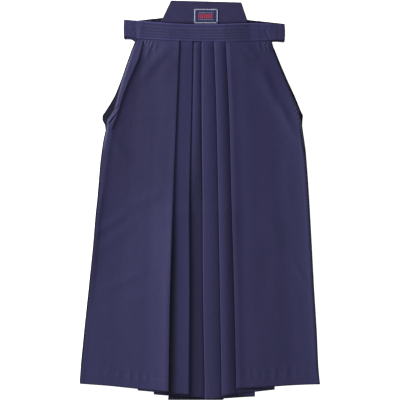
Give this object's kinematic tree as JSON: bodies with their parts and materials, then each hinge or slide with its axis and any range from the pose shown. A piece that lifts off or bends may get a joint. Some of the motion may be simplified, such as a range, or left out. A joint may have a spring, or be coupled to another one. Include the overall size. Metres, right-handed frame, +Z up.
{
  "type": "hakama trousers",
  "caption": "Wide pleated trousers laid flat and face up, with a waist band, folded ties, open sides and a stiff back board.",
  "frame": {"origin": "middle of the bounding box, on the surface that the garment lies on", "axes": "+Z up out of the surface, through the front of the garment; +Y along its length, from the hem to the waist; +X to the right as seen from above"},
  "size_m": [0.6366, 1.0578, 0.0167],
  "materials": {
    "panel": "smooth twill, slight sheen, deep indigo",
    "inner": "smooth twill, inner side",
    "board": "twill drawn over a stiff board",
    "label": "woven patch"
  },
  "bodies": {
    "root": {"front_left": "panel", "front_right": "panel", "side_fold_left": "panel", "side_fold_right": "panel", "front_band": "panel", "front_tie_left": "panel", "front_tie_right": "panel", "back_board": "board", "back_tie_left": "inner", "back_tie_right": "inner", "label_patch": "label", "back_left": "inner", "back_right": "inner", "gusset": "inner"}
  },
  "joints": []
}
